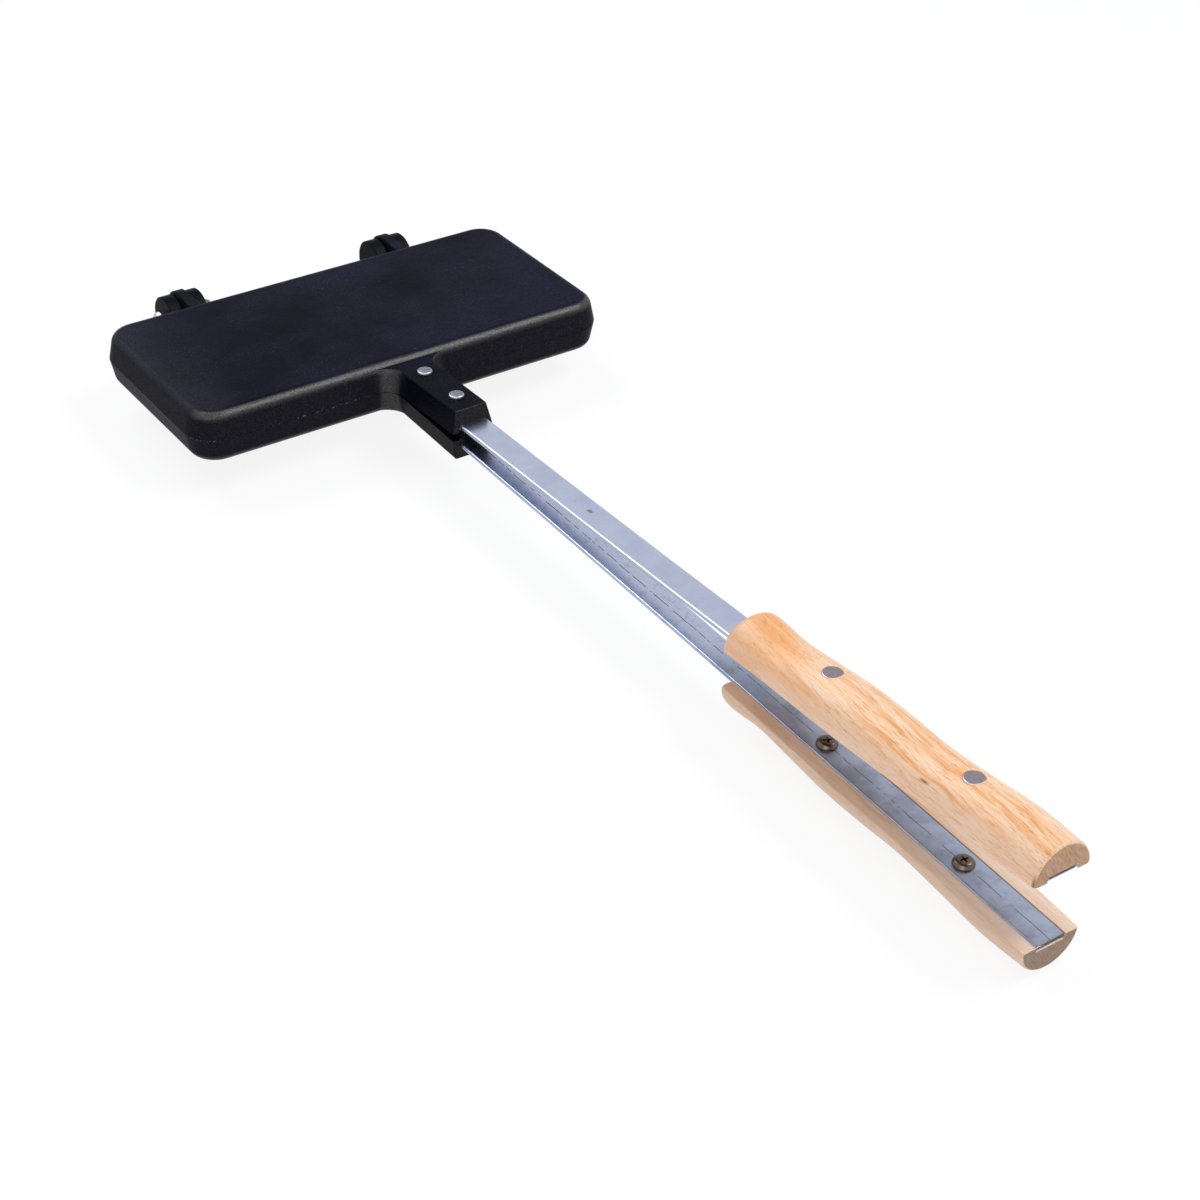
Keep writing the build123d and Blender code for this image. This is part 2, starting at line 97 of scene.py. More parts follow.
# --- Sizes in millimetres: the CAD model's, and those of the finer detail ----------------
SCALE = 0.001               # metres in a millimetre
FRONT_Y = -60.8
PARTING_Z = 14.65
RIM_Z = 14.75
NECK_LENGTH = 62.3
NECK_HEIGHT = 12.25
NECK_SLOPE = math.tan(math.radians(1.9))
RIVET_REACHES = {"rear": 13.6, "front": 45.5}
RIVET_RADIUS = 2.5
RIVET_UNEVEN = 0.06         # how far the hammered faces wander
BAR_WIDTH = 15.8
BAR_THICKNESS = 2.35
BAR_EDGE = 1.0
BAR_EDGE_STRIP = 0.3        # flat strip beside each rolled edge
BAR_START = 5.2
BAR_END = 492.2
BAR_START_HEIGHT = 3.32
BAR_SLOPE = math.tan(math.radians(0.95))
BAR_BOW = 16500.0
BOW_START = 64.3
SLIT_WIDTH = 12.8
SLIT_HEIGHT = 0.35
SLIT_DEPTH = 8.0
BAR_STEPS = 400             # sections along a bar, close enough for the seam's wander
BAR_RIM_INSET = 0.12        # rounding of the bar's sawn ends
BAR_RIM_LENGTH = 0.15
SEAM_WIDTH = 0.32
SEAM_DEPTH = 0.12
SEAM_SHOULDER = 0.2         # flat strip on either side of the seam
OPEN_SEAM = 0.25            # share of its depth from which the seam looks dark
GRIP_REACH = 295.0
GRIP_LENGTH = 198.0         # a little short of the CAD grip, to stay inside its box
GRIP_PROFILE = [            # share of the length, width of the flat, height of the crest
    (0.00, 31.8, 15.9),
    (0.05, 32.0, 15.3),
    (0.13, 31.6, 13.5),
    (0.24, 32.2, 14.7),
    (0.36, 33.0, 16.1),
    (0.49, 32.5, 15.4),
    (0.61, 31.6, 14.0),
    (0.74, 31.2, 15.3),
    (0.87, 32.0, 16.5),
    (1.00, 30.3, 15.0),
]
GRIP_NOSE = 6.2             # rounding at the crest
GRIP_NOSE_SIDE = 2.8        # and at the sides
GRIP_TAIL = 1.5             # rounding at the free end
GRIP_END_DRAW = 0.25        # a little more inset on the end faces
GRIP_EDGE = 1.3             # rounding of the flat's long edges
GRIP_EDGE_MARGIN = 0.35     # of the flat, kept between groove and edge
GRIP_NOSE_STEPS = 16
GRIP_BODY_STEPS = 90
GRIP_TAIL_STEPS = 6
GRIP_BACK_STEPS = 48
GRIP_EDGE_STEPS = 6
GROOVE_HALF = 8.0
GROOVE_DEPTH = 2.4
GROOVE_EASE = 0.3           # of the groove's long edges
SCREW_SEATS = {"rear": (352.0, 15.156), "front": (441.0, 15.194)}   # reach, top of the sleeve
SLEEVE_HEAD = 4.85
SLEEVE_HEAD_THICKNESS = 1.4
SLEEVE_RADIUS = 3.0
SCREW_HEAD = 4.9
SCREW_HEAD_HEIGHT = 2.6
SCREW_RADIUS = 2.0
SCREW_LENGTH = 10.85
SCREW_TURNS = {"rear": 24, "front": 8}      # degrees by which the cross stands askew
CROSS_HALF = (2.25, 0.50)   # half length and half width of a slot at the head's top
CROSS_FLOOR_HALF = (1.15, 0.38)
CROSS_DEPTH = 1.75
CROSS_RISE = 0.3            # of the cutting shape above the head
BORE_SPARE = 1.0            # of the sleeve's bore, beyond the screw's tip
POCKET_RISE = 4.0           # of the cutting shape above the sleeve
HOLE_FIT = 0.05
HINGE_Y = 74.5
BOLT_RADIUS = 3.0
BOLT_HEAD = 5.25
BOLT_HEAD_HEIGHT = 3.3
BOLT_HEAD_LAND = 0.9
BOLT_CROWN = 2.7            # radius of the head's flat top, with its soft rim
BOLT_CROWN_DROP = 0.06
BOLT_SOCKET = 4.0
BOLT_SOCKET_DEPTH = 2.0
BOLT_SOCKET_RISE = 1.0      # of the cutting shape above the head
LEFT_BOLT = (-81.8, -1, 30.7)       # X under the head, way the head points, shank
RIGHT_BOLT = (73.0, 1, 21.5)
BOLT_SEGMENTS = 48
THREAD_PITCH = 1.0
THREAD_DEPTH = 0.5
THREAD_STEPS = 8            # rings in one pitch
THREAD_START = 2.5          # below the head
THREAD_RUN_OUT = 0.4        # before the tip
NUT_X = -57.5
NUT_FLATS = 10.0
NUT_HEX_HEIGHT = 4.4
NUT_COLLAR = 4.6
NUT_HEIGHT = 6.1
NUT_BORE = 3.05
NUT_CHAMFER = 4.85          # radius of the chamfer's circle on the hexagon's faces
NUT_CHAMFER_SLOPE = 1.7
TURNED_SEGMENTS = 72
METAL_CREASE = 32.0         # degrees between faces, from which an edge is drawn sharp
WOOD_CREASE = 40.0


# --- Shapes ------------------------------------------------------------------------------
def bar_height(reach):
    """Bar's inner face above the rim plane."""
    bowed = max(reach - BOW_START, 0.0)
    return BAR_START_HEIGHT + BAR_SLOPE * (reach - BAR_START) + bowed**2 / (2 * BAR_BOW)


def axes(origin, outward):
    """Frame with its Z outward, and its X along the head's width or, on the hinges, along Y."""
    z_axis = Vector(outward).normalized()
    x_axis = Vector((0, 1, 0)) if abs(z_axis.x) > 0.5 else Vector((1, 0, 0))
    y_axis = z_axis.cross(x_axis)
    turned = Matrix((x_axis, y_axis, z_axis)).transposed().to_4x4()
    return Matrix.Translation(origin) @ turned


def bar_frame(reach):
    """Frame on the bar's inner face."""
    slope = BAR_SLOPE + max(reach - BOW_START, 0.0) / BAR_BOW
    return axes((0, FRONT_Y - reach, RIM_Z + bar_height(reach)), (0, slope, 1))


def neck_frame(reach):
    """Frame on the neck's outer face."""
    height = NECK_HEIGHT + NECK_SLOPE * reach
    return axes((0, FRONT_Y - reach, RIM_Z + height), (0, NECK_SLOPE, 1))


def loft(rings, cap_ends=True):
    """Skin over rings that have as many points each. Without caps it closes on itself."""
    shape = bmesh.new()
    rows = [[shape.verts.new(point) for point in ring] for ring in rings]
    pairs = list(zip(rows, rows[1:])) if cap_ends else list(zip(rows, rows[1:] + rows[:1]))
    for row, following in pairs:
        for index in range(len(row)):
            after = (index + 1) % len(row)
            shape.faces.new((row[index], row[after], following[after], following[index]))
    if cap_ends:
        shape.faces.new(rows[0])
        shape.faces.new(rows[-1])
    return finish_shape(shape)


def finish_shape(shape):
    """Mesh of a closed shape, its normals pointing out."""
    bmesh.ops.remove_doubles(shape, verts=shape.verts, dist=1e-5)
    bmesh.ops.recalc_face_normals(shape, faces=shape.faces)
    mesh = bpy.data.meshes.new("shape")
    shape.to_mesh(mesh)
    shape.free()
    return mesh


def circle(radius, height, segments=TURNED_SEGMENTS):
    """Ring of points about Z."""
    angles = [math.tau * step / segments for step in range(segments)]
    return [Vector((radius * math.cos(angle), radius * math.sin(angle), height)) for angle in angles]


def revolve(profile):
    """Turned shape about Z from (radius, height) points."""
    return loft([circle(radius, height) for radius, height in profile])


def arc(centre, radius, start, end, steps):
    """Points of an arc from one angle to another, in degrees."""
    points = []
    for step in range(steps + 1):
        angle = math.radians(start + (end - start) * step / steps)
        points.append((centre[0] + radius * math.cos(angle), centre[1] + radius * math.sin(angle)))
    return points


def prism(first_outline, last_outline, first, last):
    """Straight or tapered prism from one height to another."""
    first_ring = [Vector((x, y, first)) for x, y in first_outline]
    last_ring = [Vector((x, y, last)) for x, y in last_outline]
    return loft([first_ring, last_ring])


def rectangle(half_length, half_width):
    """Outline of a rectangle about the origin."""
    signs = [(-1, -1), (1, -1), (1, 1), (-1, 1)]
    return [(half_length * x, half_width * y) for x, y in signs]


def carve(mesh, cutters):
    """Mesh with other meshes taken out of it."""
    scene = bpy.context.scene.collection.objects
    target = bpy.data.objects.new("target", mesh)
    scene.link(target)
    tools = []
    for cutter in cutters:
        tool = bpy.data.objects.new("tool", cutter)
        scene.link(tool)
        cut = target.modifiers.new("cut", "BOOLEAN")
        cut.operation = "DIFFERENCE"
        cut.solver = "EXACT"
        cut.object = tool
        tools.append(tool)
    state = bpy.context.evaluated_depsgraph_get()
    carved = bpy.data.meshes.new_from_object(target.evaluated_get(state))
    for used in [target] + tools:
        bpy.data.objects.remove(used)
    return carved


def make_piece(name, mesh, body, replaced, materials, crease=METAL_CREASE):
    """Object in metres from a mesh in millimetres, in place of a CAD node."""
    mesh.transform(Matrix.Scale(SCALE, 4))
    mesh.name = name
    for material in materials:
        mesh.materials.append(material)
    mesh.polygons.foreach_set("use_smooth", [True] * len(mesh.polygons))
    mesh.set_sharp_from_angle(angle=math.radians(crease))
    piece = bpy.data.objects.new(name, mesh)
    bpy.context.scene.collection.objects.link(piece)
    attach(piece, body)
    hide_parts(*replaced)


def make_half(half, name, mesh, materials, crease=METAL_CREASE):
    """Piece of the upper half, or its mirror image in the parting plane on the lower one."""
    made = mesh.copy()
    if half == "lower":
        flip = Matrix.Translation((0, 0, 2 * PARTING_Z)) @ Matrix.Scale(-1, 4, (0, 0, 1))
        made.transform(flip)
        made.flip_normals()
    make_piece(f"{half}_{name}_detail", made, half, [f"{half}_{name}"], materials, crease)


# --- Handle bars -----------------------------------------------------------------------------
def seam_at(reach):
    """Sideways wander of the seam, and how far it stands open."""
    wander = 0.45 * perlin((reach / 19.0, 0.0, 5.0)) + 0.22 * perlin((reach / 5.0, 0.0, 9.0))
    openness = 0.50 + 1.6 * perlin((reach / 11.0, 3.0, 0.0)) + 2.2 * perlin((reach / 3.6, 7.0, 0.0))
    return wander, min(max(openness, 0.0), 1.0)


def bar_outline(wander, seam, inset=0.0):
    """Section of the flattened tube: across, and height above the inner face."""
    half = BAR_WIDTH / 2 - inset
    top = BAR_THICKNESS - inset
    low = inset
    corner = BAR_EDGE - inset
    strip = half - corner - BAR_EDGE_STRIP
    seam_half = SEAM_WIDTH / 2
    shoulder = seam_half + SEAM_SHOULDER
    points = [(strip, top)]
    points = arc((half - corner, top - corner), corner, 0, 90, 6) + points
    points += [(-strip, top)]
    points += arc((corner - half, top - corner), corner, 90, 180, 6)
    points += arc((corner - half, low + corner), corner, 180, 270, 6)
    points += [(-strip, low), (wander - shoulder, low), (wander - seam_half, low)]
    points += [(wander, low + seam)]
    points += [(wander + seam_half, low), (wander + shoulder, low), (strip, low)]
    points += arc((half - corner, low + corner), corner, 270, 360, 6)
    return points


def bar_mesh():
    """Tube rolled flat: open seam along the inner face, slit of its bore at the free end."""
    span = BAR_END - BAR_START
    rings = []
    for step in range(BAR_STEPS + 1):
        reach = BAR_START + span * step / BAR_STEPS
        wander, openness = seam_at(reach)
        inset = BAR_RIM_INSET if step in (0, BAR_STEPS) else 0.0
        section = bar_outline(wander, SEAM_DEPTH * openness, inset)
        rings.append([bar_frame(reach) @ Vector((x, 0, z)) for x, z in section])
        if step == BAR_STEPS - 1:
            rim = bar_frame(BAR_END - BAR_RIM_LENGTH)
            rings.append([rim @ Vector((x, 0, z)) for x, z in section])
    mesh = loft(rings + slit_rings())
    for face in mesh.polygons:
        reach = FRONT_Y - face.center.y
        wander, openness = seam_at(reach)
        inward = face.center.z - RIM_Z - bar_height(reach)
        in_groove = abs(face.center.x - wander) < 0.6 * SEAM_WIDTH / 2 and abs(inward) < SEAM_DEPTH
        face.material_index = 1 if in_groove and openness > OPEN_SEAM else 0
    return mesh


def slit_rings():
    """What is left of the tube's bore: a flat slit into the free end."""
    middle = BAR_THICKNESS / 2
    rings = []
    for reach in (BAR_END, BAR_END - SLIT_DEPTH):
        mouth = []
        for x, z in bar_outline(0.0, 0.0):
            across = min(max(x, -SLIT_WIDTH / 2), SLIT_WIDTH / 2)
            lift = min(max(z - middle, -SLIT_HEIGHT / 2), SLIT_HEIGHT / 2)
            mouth.append(bar_frame(reach) @ Vector((across, 0, middle + lift)))
        rings.append(mouth)
    return rings


# --- Rivets ----------------------------------------------------------------------------------
def rivet_mesh(end):
    """Flat head with a rolled edge, shank through neck and bar, and the upset tail."""
    reach = RIVET_REACHES[end]
    clamped = NECK_HEIGHT + NECK_SLOPE * reach - bar_height(reach) + HOLE_FIT
    head = [(0.0, 1.78), (1.4, 1.77), (2.6, 1.70), (3.2, 1.60)]
    head += arc((3.2, 0.75), 0.85, 90, 20, 6) + [(4.06, 0.7), (4.05, 0.15), (3.9, 0.0)]
    tail = [(3.6, 0.0), (3.58, -0.35), (3.35, -0.8), (2.8, -1.02), (1.5, -1.09), (0.0, -1.1)]
    profile = head + [(RIVET_RADIUS, 0.0), (RIVET_RADIUS, -clamped)]
    profile += [(radius, height - clamped) for radius, height in tail]
    mesh = revolve(profile)
    for vertex in mesh.vertices:
        x, y, z = vertex.co
        if z > 1.0 or z < -clamped - 0.3:
            vertex.co.z += RIVET_UNEVEN * perlin((x / 1.6, y / 1.6, reach)) - RIVET_UNEVEN
    mesh.transform(neck_frame(reach))
    return mesh


# --- Grips -----------------------------------------------------------------------------------
def profile_at(share):
    """Width of the flat and height of the crest on a smooth curve through the stations."""
    rows = GRIP_PROFILE
    index = 0
    while index < len(rows) - 2 and share > rows[index + 1][0]:
        index += 1
    first, second = rows[index], rows[index + 1]
    before = rows[max(index - 1, 0)]
    after = rows[min(index + 2, len(rows) - 1)]
    span = second[0] - first[0]
    part = (share - first[0]) / span
    values = []
    for column in (1, 2):
        start_slope = (second[column] - before[column]) / (second[0] - before[0]) * span
        end_slope = (after[column] - first[column]) / (after[0] - first[0]) * span
        values.append(
            (2 * part**3 - 3 * part**2 + 1) * first[column]
            + (part**3 - 2 * part**2 + part) * start_slope
            + (3 * part**2 - 2 * part**3) * second[column]
            + (part**3 - part**2) * end_slope
        )
    return values


def grip_outline(width, height, inset, crest_inset):
    """Section of the wood: round back, flat with eased edges, groove for the bar."""
    round_radius = (width**2 / 4 + height**2) / (2 * height)
    centre = height - round_radius
    radius = round_radius - inset
    corner = math.sqrt(radius**2 - centre**2)
    ease = min(GRIP_EDGE, 0.8 * (corner - GROOVE_HALF - GRIP_EDGE_MARGIN))
    widest = math.acos(-centre / radius)
    side = widest - ease / radius
    flat_start = GROOVE_HALF + GROOVE_EASE
    flat_end = corner - ease
    right = [(GROOVE_HALF, GROOVE_EASE), (GROOVE_HALF + 0.09, 0.09), (flat_start, 0.0)]
    right.append((flat_end - 0.3 * (flat_end - GROOVE_HALF - GROOVE_EASE), 0.0))
    on_arc = (radius * math.sin(side), centre + radius * math.cos(side))
    for step in range(GRIP_EDGE_STEPS):
        part = step / GRIP_EDGE_STEPS
        x = (1 - part) ** 2 * flat_end + 2 * part * (1 - part) * corner + part**2 * on_arc[0]
        right.append((x, part**2 * on_arc[1]))
    back = []
    for step in range(GRIP_BACK_STEPS + 1):
        angle = side - 2 * side * step / GRIP_BACK_STEPS
        share = math.cos(math.pi / 2 * angle / side) ** 2
        away = radius + (inset - crest_inset) * share
        back.append((away * math.sin(angle), centre + away * math.cos(angle)))
    left = [(-x, z) for x, z in reversed(right)]
    floor = [(-GROOVE_HALF, GROOVE_DEPTH), (-GROOVE_HALF + GROOVE_EASE, GROOVE_DEPTH)]
    floor += [(GROOVE_HALF - GROOVE_EASE, GROOVE_DEPTH), (GROOVE_HALF, GROOVE_DEPTH)]
    return right + back + left + floor


def drawn_in(along, radius):
    """Inset of a rounded end at a distance from its face."""
    return radius - math.sqrt(max(radius**2 - max(radius - along, 0.0) ** 2, 0.0))


def grip_stations():
    """Place of each section, and the insets of its sides and crest."""
    stations = [(0.0, GRIP_NOSE_SIDE + GRIP_END_DRAW, GRIP_NOSE + GRIP_END_DRAW)]
    for step in range(GRIP_NOSE_STEPS + 1):
        along = GRIP_NOSE * (1 - math.cos(math.radians(90 * step / GRIP_NOSE_STEPS)))
        stations.append((along, drawn_in(along, GRIP_NOSE_SIDE), drawn_in(along, GRIP_NOSE)))
    length = GRIP_LENGTH - GRIP_NOSE - GRIP_TAIL
    for step in range(1, GRIP_BODY_STEPS):
        stations.append((GRIP_NOSE + length * step / GRIP_BODY_STEPS, 0.0, 0.0))
    for step in range(GRIP_TAIL_STEPS + 1):
        away = GRIP_TAIL * (1 - math.sin(math.radians(90 * step / GRIP_TAIL_STEPS)))
        inset = drawn_in(away, GRIP_TAIL)
        stations.append((GRIP_LENGTH - away, inset, inset))
    stations.append((GRIP_LENGTH, GRIP_TAIL + GRIP_END_DRAW, GRIP_TAIL + GRIP_END_DRAW))
    return stations


def grip_mesh():
    """Shaped wooden half handle with a groove and two stepped bores."""
    rings = []
    for along, inset, crest_inset in grip_stations():
        outline = grip_outline(*profile_at(along / GRIP_LENGTH), inset, crest_inset)
        here = bar_frame(GRIP_REACH + along)
        rings.append([here @ Vector((x, 0, z)) for x, z in outline])
    cutters = []
    pocket = SLEEVE_HEAD + HOLE_FIT
    bore = SLEEVE_RADIUS + HOLE_FIT
    for reach, top in SCREW_SEATS.values():
        shoulder = top - SLEEVE_HEAD_THICKNESS
        mouth = top + POCKET_RISE
        profile = [(0, mouth), (pocket, mouth), (pocket, shoulder), (bore, shoulder)]
        cutter = revolve(profile + [(bore, 1.0), (0, 1.0)])
        cutter.transform(bar_frame(reach))
        cutters.append(cutter)
    return carve(loft(rings), cutters)


# --- Sleeve nuts and screws --------------------------------------------------------------------
def sleeve_mesh(end):
    """Flat round head with a turned edge, on a tubular shank."""
    reach, top = SCREW_SEATS[end]
    bore = SCREW_RADIUS + HOLE_FIT
    profile = [(0.0, top), (3.6, top), (4.15, top - 0.02)]
    profile += arc((4.2, top - 0.67), 0.65, 90, 0, 6)
    profile += [(SLEEVE_HEAD, top - 1.3), (4.75, top - SLEEVE_HEAD_THICKNESS)]
    profile += [(SLEEVE_RADIUS, top - SLEEVE_HEAD_THICKNESS), (SLEEVE_RADIUS, GROOVE_DEPTH)]
    bore_end = SCREW_LENGTH + BORE_SPARE
    profile += [(bore, GROOVE_DEPTH), (bore, bore_end), (0.0, bore_end)]
    mesh = revolve(profile)
    mesh.transform(bar_frame(reach))
    return mesh


def cross_cutters(top):
    """Two tapered slots of a cross recess."""
    cutters = []
    for turn in (0, 90):
        mouth = rectangle(*CROSS_HALF)
        floor = rectangle(*CROSS_FLOOR_HALF)
        cutter = prism(mouth, floor, top + CROSS_RISE, top - CROSS_DEPTH)
        cutter.transform(Matrix.Rotation(math.radians(turn), 4, "Z"))
        cutters.append(cutter)
    return cutters


def screw_mesh(end):
    """Pan-head screw, its head under the bar's inner face."""
    reach, _ = SCREW_SEATS[end]
    height = SCREW_HEAD_HEIGHT
    profile = [(0.0, height), (1.2, height - 0.02), (2.3, height - 0.12)]
    profile += arc((2.6, height - 2.2), 2.08, 80, 22, 9)
    profile += [(4.75, 1.0), (4.88, 0.65), (SCREW_HEAD, 0.3), (4.8, 0.0)]
    profile += [(SCREW_RADIUS, 0.0), (SCREW_RADIUS, 0.6 - SCREW_LENGTH)]
    profile += [(1.5, -SCREW_LENGTH), (0.0, -SCREW_LENGTH)]
    mesh = carve(revolve(profile), cross_cutters(height))
    mesh.transform(Matrix.Rotation(math.radians(SCREW_TURNS[end]), 4, "Z"))
    mesh.transform(bar_frame(reach) @ Matrix.Rotation(math.pi, 4, "X"))
    return mesh


# --- Hinge bolts and lock nut ------------------------------------------------------------------
def thread_rings(start, end):
    """Rings of a helical thread from one height down to another."""
    steps = int((start - end) / THREAD_PITCH * THREAD_STEPS)
    rings = []
    for step in range(steps + 1):
        height = start + (end - start) * step / steps
        fading = min(1.0, step / THREAD_STEPS, 2 * (steps - step) / THREAD_STEPS)
        ring = []
        for index in range(BOLT_SEGMENTS):
            phase = (height / THREAD_PITCH + index / BOLT_SEGMENTS) % 1.0
            radius = BOLT_RADIUS - THREAD_DEPTH * fading * (1 - abs(2 * phase - 1))
            angle = math.tau * index / BOLT_SEGMENTS
            ring.append(Vector((radius * math.cos(angle), radius * math.sin(angle), height)))
        rings.append(ring)
    return rings


def bolt_mesh(under_head, way, length):
    """Button-head bolt with a hexagon socket and a rolled thread."""
    top = BOLT_HEAD_HEIGHT
    shoulder = top - BOLT_CROWN_DROP
    profile = [(0.0, top), (1.6, top), (BOLT_CROWN, shoulder)]
    for step in range(1, 9):
        angle = math.radians(90 * step / 8)
        radius = BOLT_CROWN + (BOLT_HEAD - BOLT_CROWN - 0.05) * math.sin(angle)
        profile.append((radius, BOLT_HEAD_LAND + (shoulder - BOLT_HEAD_LAND) * math.cos(angle)))
    profile += [(BOLT_HEAD, BOLT_HEAD_LAND - 0.2), (BOLT_HEAD, 0.15), (5.1, 0.0), (BOLT_RADIUS, 0.0)]
    rings = [circle(radius, height, BOLT_SEGMENTS) for radius, height in profile]
    rings += thread_rings(-THREAD_START, THREAD_RUN_OUT - length)
    rings += [circle(radius, -length, BOLT_SEGMENTS) for radius in (BOLT_RADIUS - THREAD_DEPTH, 0.0)]
    socket = arc((0, 0), BOLT_SOCKET / math.sqrt(3), 0, 300, 5)
    cutter = prism(socket, socket, top - BOLT_SOCKET_DEPTH, top + BOLT_SOCKET_RISE)
    mesh = carve(loft(rings), [cutter])
    mesh.transform(axes((under_head, HINGE_Y, PARTING_Z), (way, 0, 0)))
    return mesh


def nut_mesh():
    """Lock nut: chamfered hexagon, round collar and the ring inside it."""
    rings = []
    for height in (0.0, 0.25, 0.5, 0.8, 2.2, 3.7, 4.0, 4.2, NUT_HEX_HEIGHT):
        from_face = min(height, NUT_HEX_HEIGHT - height)
        ring = []
        for index in range(TURNED_SEGMENTS):
            angle = math.tau * index / TURNED_SEGMENTS
            turned = (angle + math.pi / 6) % (math.pi / 3) - math.pi / 6
            flat = NUT_FLATS / 2 / math.cos(turned)
            radius = min(flat, NUT_CHAMFER + NUT_CHAMFER_SLOPE * from_face)
            ring.append(Vector((radius * math.cos(angle), radius * math.sin(angle), height)))
        rings.append(ring)
    collar = [(NUT_COLLAR, 4.42), (NUT_COLLAR, 5.2)] + arc((NUT_COLLAR - 0.75, 5.25), 0.75, 15, 90, 5)
    collar += [(3.5, NUT_HEIGHT - 0.08), (3.45, 5.8), (3.06, 5.75), (NUT_BORE, 4.6), (NUT_BORE, 0.0)]
    rings += [circle(radius, height) for radius, height in collar]
    mesh = loft(rings, cap_ends=False)
    mesh.transform(axes((NUT_X, HINGE_Y, PARTING_Z), (1, 0, 0)))
    return mesh


# --- Node helpers ------------------------------------------------------------------------------
def new_material(name):
    """Material, its node tree and its shader."""
    material = bpy.data.materials.new(name)
    material.use_nodes = True
    tree = material.node_tree
    return material, tree, tree.nodes["Principled BSDF"]


def node(tree, kind, values=None, **settings):
    """Adds a shader node. A value that is a socket is linked, any other is set."""
    made = tree.nodes.new("ShaderNode" + kind)
    for key, value in settings.items():
        setattr(made, key, value)
    for key, value in (values or {}).items():
        if isinstance(value, bpy.types.NodeSocket):
            tree.links.new(value, made.inputs[key])
        else:
            made.inputs[key].default_value = value
    return made


def connect(tree, bsdf, **sockets):
    """Links or sets the shader's inputs, with underscores for the spaces in their names."""
    for key, value in sockets.items():
        target = bsdf.inputs[key.replace("_", " ")]
        if isinstance(value, bpy.types.NodeSocket):
            tree.links.new(value, target)
        else:
            target.default_value = value


def place(tree, scale=(1, 1, 1), turn=(0, 0, 0), shift=(0, 0, 0)):
    """Object coordinates in metres, turned and stretched."""
    here = node(tree, "TexCoord").outputs["Object"]
    values = {"Vector": here, "Rotation": turn, "Location": shift}
    turned = node(tree, "Mapping", values).outputs["Vector"]
    return node(tree, "Mapping", {"Vector": turned, "Scale": scale}).outputs["Vector"]


def noise(tree, vector, scale, detail=2.0, roughness=0.5, distortion=0.0):
    """Cloudy grey pattern in three dimensions."""
    values = {
        "Vector": vector,
        "Scale": scale,
        "Detail": detail,
        "Roughness": roughness,
        "Distortion": distortion,
    }
    return node(tree, "TexNoise", values).outputs["Fac"]


def ramp(tree, factor, *stops):
    """Colour ramp from (position, grey or colour) stops."""
    made = node(tree, "ValToRGB", {"Fac": factor})
    elements = made.color_ramp.elements
    while len(elements) < len(stops):
        elements.new(0.5)
    for element, (position, value) in zip(elements, stops):
        element.position = position
        colour = grey(value) if isinstance(value, (int, float)) else value
        element.color = (*colour, 1)
    return made.outputs["Color"]


def fade(tree, value, low, high, first=0.0, last=1.0):
    """Goes from one number to another as a value passes from low to high."""
    values = {"Value": value, "From Min": low, "From Max": high, "To Min": first, "To Max": last}
    return node(tree, "MapRange", values, interpolation_type="SMOOTHSTEP").outputs[0]


def blend(tree, factor, first, second, mode="MIX"):
    """Mixes a second colour into a first one."""
    made = node(tree, "Mix", {"Factor": factor}, data_type="RGBA", blend_type=mode)
    for index, value in ((6, first), (7, second)):
        if isinstance(value, bpy.types.NodeSocket):
            tree.links.new(value, made.inputs[index])
        else:
            made.inputs[index].default_value = (*value, 1)
    return made.outputs[2]


def maths(tree, operation, first, second=0.0):
    return node(tree, "Math", {0: first, 1: second}, operation=operation).outputs[0]


def absolute(tree, value):
    return maths(tree, "ABSOLUTE", value)


def times(tree, *values):
    """Product of sockets and numbers."""
    product = values[0]
    for value in values[1:]:
        product = maths(tree, "MULTIPLY", product, value)
    return product


def separate(tree, vector):
    made = node(tree, "SeparateXYZ", {"Vector": vector})
    return made.outputs[0], made.outputs[1], made.outputs[2]


def facing(tree):
    """The three parts of the surface's normal."""
    return separate(tree, node(tree, "NewGeometry").outputs["Normal"])


def grey(value):
    return (value, value, value)


def near(tree, value, centre, half, soft):
    """One where a value is within half of a centre, and zero beyond the soft border."""
    away = absolute(tree, maths(tree, "SUBTRACT", value, centre))
    return fade(tree, away, half, half + soft, 1.0, 0.0)


def bump(tree, height, strength, distance, normal=None):
    """Normal of a relief, on top of a coarser one."""
    values = {"Height": height, "Strength": strength, "Distance": distance}
    if normal is not None:
        values["Normal"] = normal
    return node(tree, "Bump", values).outputs["Normal"]


def dashes(tree, vector, size, share):
    """Spots in the cells of a stretched space, in a share of the cells."""
    cells = node(tree, "TexVoronoi", {"Vector": vector, "Scale": 1.0})
    spot = fade(tree, cells.outputs["Distance"], size * 0.6, size, 1.0, 0.0)
    chance = node(tree, "SeparateColor", {"Color": cells.outputs["Color"]}).outputs[0]
    return times(tree, spot, fade(tree, chance, share, share + 0.05, 1.0, 0.0))


# --- Materials ------------------------------------------------------------------------------------
def ahead(reach):
    """Y in metres at a reach in millimetres."""
    return (FRONT_Y - reach) * SCALE


RUST_HEIGHT = 13.9                      # above the rim plane, in millimetres
BACK_RIM = (0.0625, 0.0660)             # Y over which the pan gives way to its hinge ears
LEFT_END = (-0.125, -0.085)             # X over which the painted light on the pan's left end runs out
IRON_TONES = {
    "dark": (0.0030, 0.0033, 0.0085),   # clouds of the flat faces
    "pale": (0.0082, 0.0090, 0.0195),
    "wall": (0.0100, 0.0095, 0.0140),
    "ear": (0.0035, 0.0037, 0.0060),
    "neck": (0.0020, 0.0020, 0.0045),
    "neck_end": (0.0240, 0.0225, 0.0240),
    "fleck": (0.080, 0.083, 0.100),
    "dust": (0.060, 0.060, 0.068),
    "edge": (0.069, 0.068, 0.066),      # rounded edges: rubbed metal, with a painted highlight strongest on the front
    "rubbed": (0.26, 0.25, 0.24),       # worn specks along the parting line
    "rust": (0.30, 0.20, 0.13),         # on the neck's end
}


